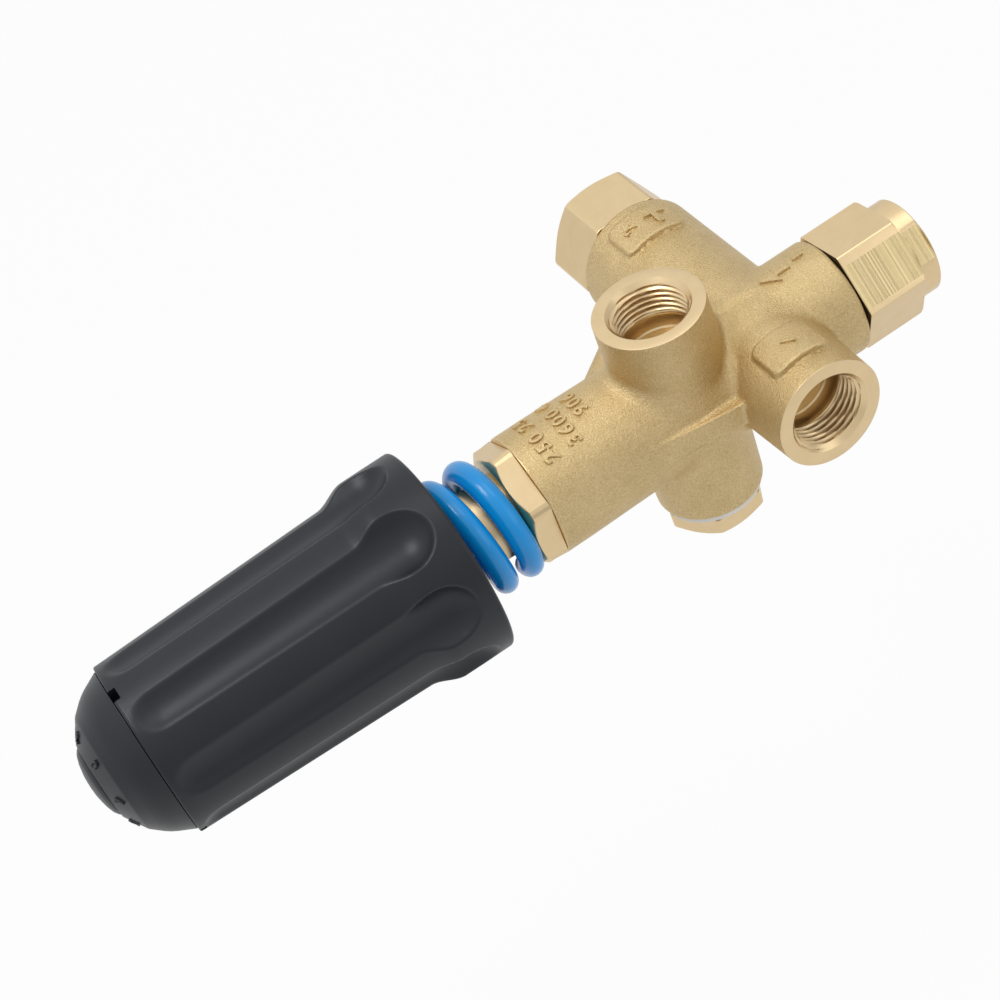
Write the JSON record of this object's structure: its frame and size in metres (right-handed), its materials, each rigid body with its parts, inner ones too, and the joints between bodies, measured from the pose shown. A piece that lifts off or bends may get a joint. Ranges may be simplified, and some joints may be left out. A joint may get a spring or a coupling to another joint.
{
  "type": "pressure washer unloader valve",
  "caption": "Adjustable unloader valve with a forged brass body, tapped ports, hexagon fittings, an outside spring and a fluted adjusting knob.",
  "frame": {"origin": "centre of the inlet port, at its first thread, on the main bore", "axes": "+X along the main bore, out of the inlet; +Z out of the bypass port; +Y out of the outlet, so -Y is the way the second inlet faces"},
  "size_m": [0.1947, 0.0832, 0.0553],
  "materials": {
    "cast_brass": "sandblasted forging",
    "machined_brass": "turned and milled",
    "steel": "turned stainless steel",
    "black_rubber": "moulded",
    "seal_plastic": "turned",
    "white_nylon": "matt",
    "blue_paint": "gloss powder paint",
    "knob_plastic": "satin moulded"
  },
  "bodies": {
    "housing": {"valve_body": "cast_brass", "guide_gland": "machined_brass", "gland_o_ring": "black_rubber", "seal_retainer": "machined_brass", "rod_seal": "black_rubber", "rod_backup_ring": "seal_plastic", "bypass_seat": "steel", "seat_o_ring": "black_rubber", "inlet_fitting": "machined_brass", "inlet_fitting_o_ring": "black_rubber", "outlet_fitting": "machined_brass", "outlet_fitting_o_ring": "black_rubber", "check_seat": "machined_brass", "check_seat_o_ring": "black_rubber", "bottom_plug": "machined_brass", "plug_washer": "white_nylon", "main_spring": "blue_paint", "check_spring": "steel"},
    "rod": {"stem": "steel", "piston": "machined_brass", "piston_o_ring": "black_rubber", "piston_backup_ring": "seal_plastic", "poppet": "steel", "poppet_nut": "steel", "stop_nut": "steel", "lock_nut": "steel"},
    "spring_carriage": {"spring_plate": "steel", "thrust_washer": "steel"},
    "knob_group": {"knob": "knob_plastic", "knob_insert": "machined_brass", "end_cap": "knob_plastic"},
    "check_valve": {"check_poppet": "seal_plastic"}
  },
  "joints": [
    {"name": "stem_slide", "type": "slide", "parent": "housing", "child": "rod", "axis": [1, 0, 0], "range_m": [0, 0.003], "stiffness_N_per_m": 20000, "springref_m": -0.003, "deforming": ["main_spring"]},
    {"name": "knob_advance", "type": "slide", "parent": "rod", "child": "spring_carriage", "axis": [1, 0, 0], "range_m": [0, 0.0075], "deforming": ["main_spring"]},
    {"name": "knob_turn", "type": "hinge", "parent": "spring_carriage", "child": "knob_group", "pos_m": [-0.15, 0, 0], "axis": [1, 0, 0], "range_deg": [0, 2160]},
    {"name": "check_valve_slide", "type": "slide", "parent": "housing", "child": "check_valve", "axis": [0, 1, 0], "range_m": [0, 0.0035], "stiffness_N_per_m": 400, "springref_m": -0.002, "deforming": ["check_spring"]}
  ],
  "couplings": [
    {"joint": "knob_advance", "follows": "knob_turn", "m_per_rad": 0.0001989}
  ]
}
